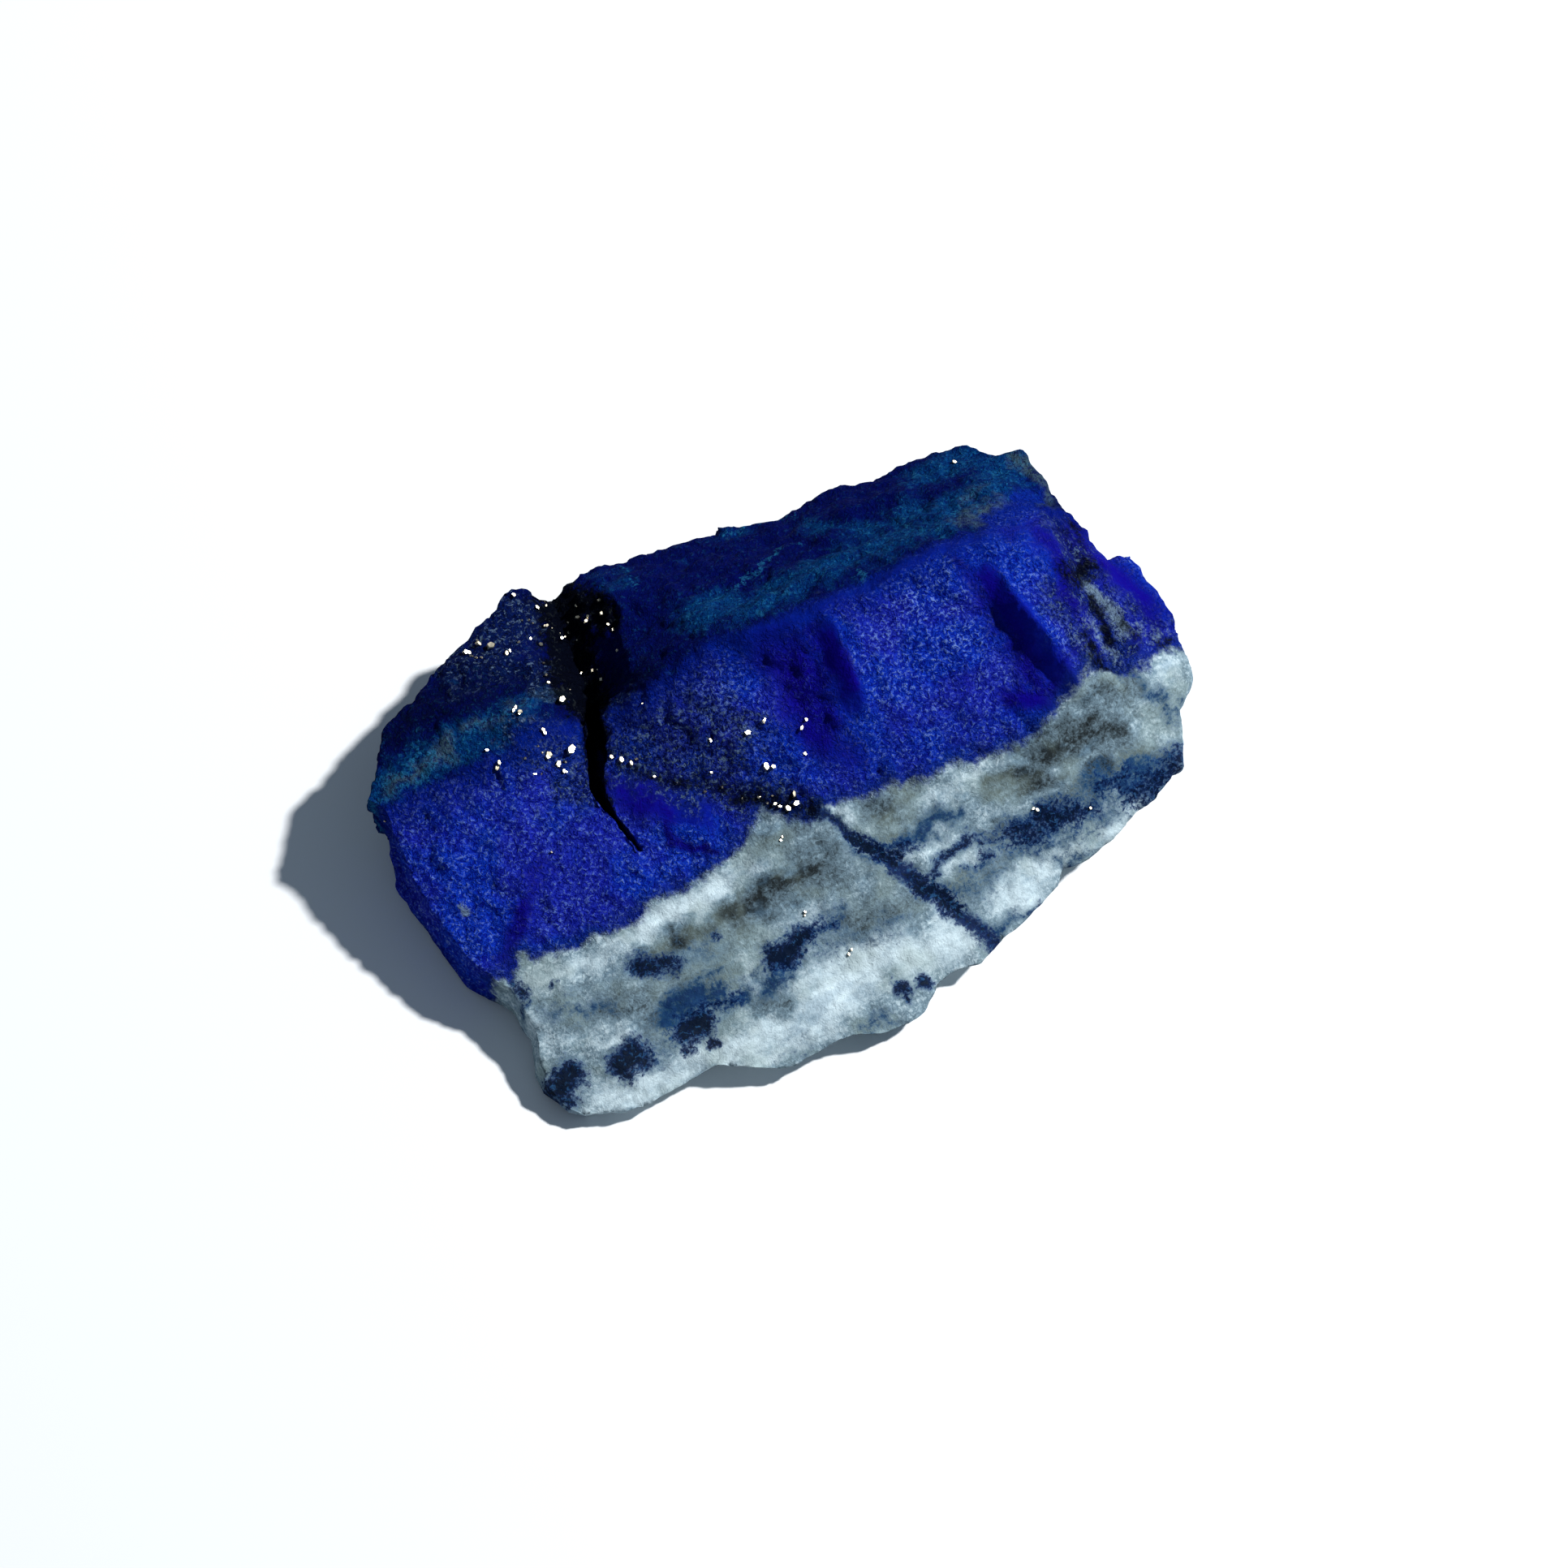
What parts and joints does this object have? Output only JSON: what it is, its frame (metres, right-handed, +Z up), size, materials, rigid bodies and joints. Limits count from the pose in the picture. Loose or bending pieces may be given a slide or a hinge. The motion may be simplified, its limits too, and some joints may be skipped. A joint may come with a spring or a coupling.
{
  "type": "rough lapis lazuli specimen",
  "caption": "Rough broken chunk of blue lapis lazuli with a banded pale calcite margin, a cracked notch and pyrite grains, resting on a broad flat underside.",
  "frame": {"origin": "on the surface the stone rests on, below the middle of its plan outline", "axes": "+Z up; +X along the mineral banding, which is the long way of the stone, with the two saw-tooth steps at its +X half; +Y towards the weathered back, so the pale calcite edge faces -Y"},
  "size_m": [0.0495, 0.0344, 0.0136],
  "materials": {
    "lapis": "rough broken stone with a sugary grain",
    "pyrite": "small bright crystal faces; used by the grains on the stone, which the look adds"
  },
  "bodies": {
    "root": {"lapis_rock": "lapis"}
  },
  "joints": []
}
